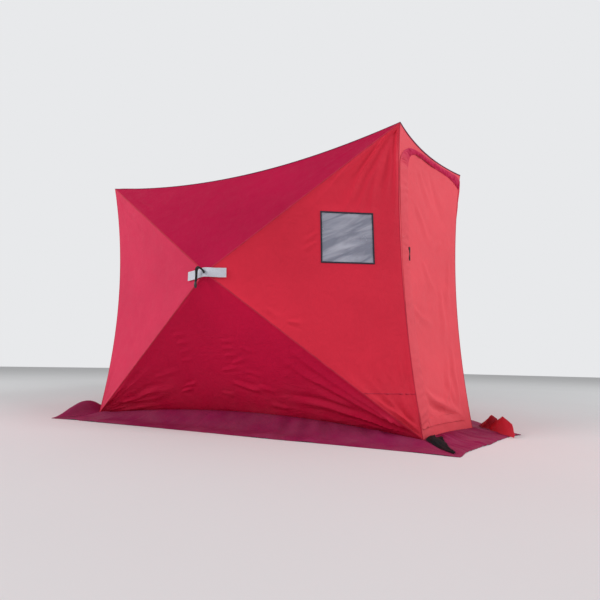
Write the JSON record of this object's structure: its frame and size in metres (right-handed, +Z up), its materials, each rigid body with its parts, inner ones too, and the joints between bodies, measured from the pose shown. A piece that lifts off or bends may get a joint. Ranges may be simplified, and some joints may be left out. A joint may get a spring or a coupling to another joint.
{
  "type": "pop-up hub ice fishing shelter",
  "caption": "Pop-up hub shelter for ice fishing: taut fabric walls and roof on crossed poles, zip door, clear windows, reflective strips and a snow skirt.",
  "frame": {"origin": "on the ground, at the middle of the shelter's box", "axes": "+Z up; -Y out through the door wall; +X to the right when looking along +Y, which is the side that the door hangs on"},
  "size_m": [3.0382, 3.16, 2.0347],
  "materials": {
    "wall_fabric": "tight woven polyester, slight sheen",
    "roof_fabric": "tight woven polyester, slight sheen",
    "skirt_fabric": "coated woven polyester, dull",
    "window_film": "soft clear film with a silvery haze",
    "black_binding": "narrow woven binding",
    "black_webbing": "flat woven webbing",
    "reflective_tape": "glass bead tape, silvery",
    "fibreglass": "pultruded rod, satin",
    "black_plastic": "moulded, fine grain",
    "zip_metal": "black coated"
  },
  "bodies": {
    "shelter": {"back_left_lower_panel": "wall_fabric", "back_left_plain_panel": "wall_fabric", "back_left_skirt": "skirt_fabric", "back_left_upper_panel": "wall_fabric", "back_left_window_panel": "wall_fabric", "back_right_lower_panel": "wall_fabric", "back_right_plain_panel": "wall_fabric", "back_right_skirt": "skirt_fabric", "back_right_upper_panel": "wall_fabric", "back_right_window_panel": "wall_fabric", "bottom_corner_feet": "black_plastic", "door_header": "wall_fabric", "door_left_jamb": "wall_fabric", "door_right_jamb": "wall_fabric", "door_sill": "wall_fabric", "front_left_lower_panel": "wall_fabric", "front_left_plain_panel": "wall_fabric", "front_left_skirt": "skirt_fabric", "front_left_upper_panel": "wall_fabric", "front_left_window_panel": "wall_fabric", "front_right_lower_panel": "wall_fabric", "front_right_plain_panel": "wall_fabric", "front_right_skirt": "skirt_fabric", "front_right_upper_panel": "wall_fabric", "front_right_window_panel": "wall_fabric", "front_skirt": "skirt_fabric", "pull_straps": "black_webbing", "reflective_strips": "reflective_tape", "roof_back_left_panel": "roof_fabric", "roof_back_right_panel": "roof_fabric", "roof_front_left_panel": "roof_fabric", "roof_front_panel": "roof_fabric", "roof_front_right_panel": "roof_fabric", "roof_hub": "black_plastic", "roof_poles": "fibreglass", "storm_flap": "wall_fabric", "top_corner_fittings": "black_plastic", "wall_hubs": "black_plastic", "wall_poles": "fibreglass", "window_frames": "black_binding", "window_panes": "window_film"},
    "door": {"door": "wall_fabric", "zip_pull": "zip_metal"}
  },
  "joints": [
    {"name": "door_hinge", "type": "hinge", "parent": "shelter", "child": "door", "pos_m": [0.20686, -1.34991, 0.07641], "axis": [-0.0596, 0.0367, -0.9975], "range_deg": [0, 100]}
  ]
}
